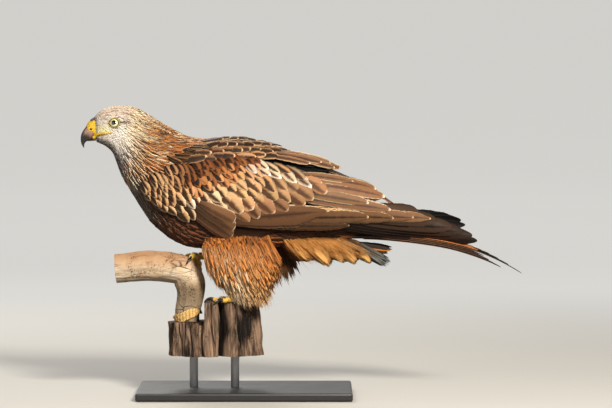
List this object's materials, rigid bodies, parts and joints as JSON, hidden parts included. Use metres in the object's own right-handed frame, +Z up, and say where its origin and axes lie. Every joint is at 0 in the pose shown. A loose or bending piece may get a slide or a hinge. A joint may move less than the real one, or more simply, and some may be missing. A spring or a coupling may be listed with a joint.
{
  "type": "red kite bird",
  "caption": "Life-size still model of a perched red kite with folded wings and forked tail, gripping a cut branch on a post, held by a display stand.",
  "frame": {"origin": "centre of the underside of the stand's base, on the floor", "axes": "+X from the bill towards the tail, +Y towards the bird's right side, +Z up"},
  "size_m": [0.6203, 0.19, 0.4063],
  "materials": {
    "pale feathers": "soft, matt feathers",
    "rufous feathers": "soft, matt feathers",
    "brown feathers": "smooth, matt feathers",
    "tan feathers": "loose, fluffy feathers",
    "iris": "wet, glossy eye",
    "yellow skin": "bare, scaled skin",
    "black horn": "polished horn",
    "dark wood": "weathered, cracked wood",
    "weathered wood": "bare, bleached wood",
    "twine": "wound straw cord",
    "stand": "satin black paint"
  },
  "bodies": {
    "root": {"head": "pale feathers", "neck": "rufous feathers", "torso": "rufous feathers", "tail": "rufous feathers", "wing_left": "brown feathers", "wing_right": "brown feathers", "thigh_left": "tan feathers", "thigh_right": "tan feathers", "eye_left": "iris", "eye_right": "iris", "cere": "yellow skin", "bill_upper": "black horn", "bill_lower": "black horn", "foot_left": "yellow skin", "foot_right": "yellow skin", "claw_left_middle": "black horn", "claw_left_inner": "black horn", "claw_left_outer": "black horn", "claw_left_hind": "black horn", "claw_right_middle": "black horn", "claw_right_inner": "black horn", "claw_right_outer": "black horn", "claw_right_hind": "black horn", "perch_post": "dark wood", "perch_branch": "weathered wood", "perch_binding": "twine", "stand_base": "stand", "stand_rod_1": "stand", "stand_rod_2": "stand"}
  },
  "joints": []
}
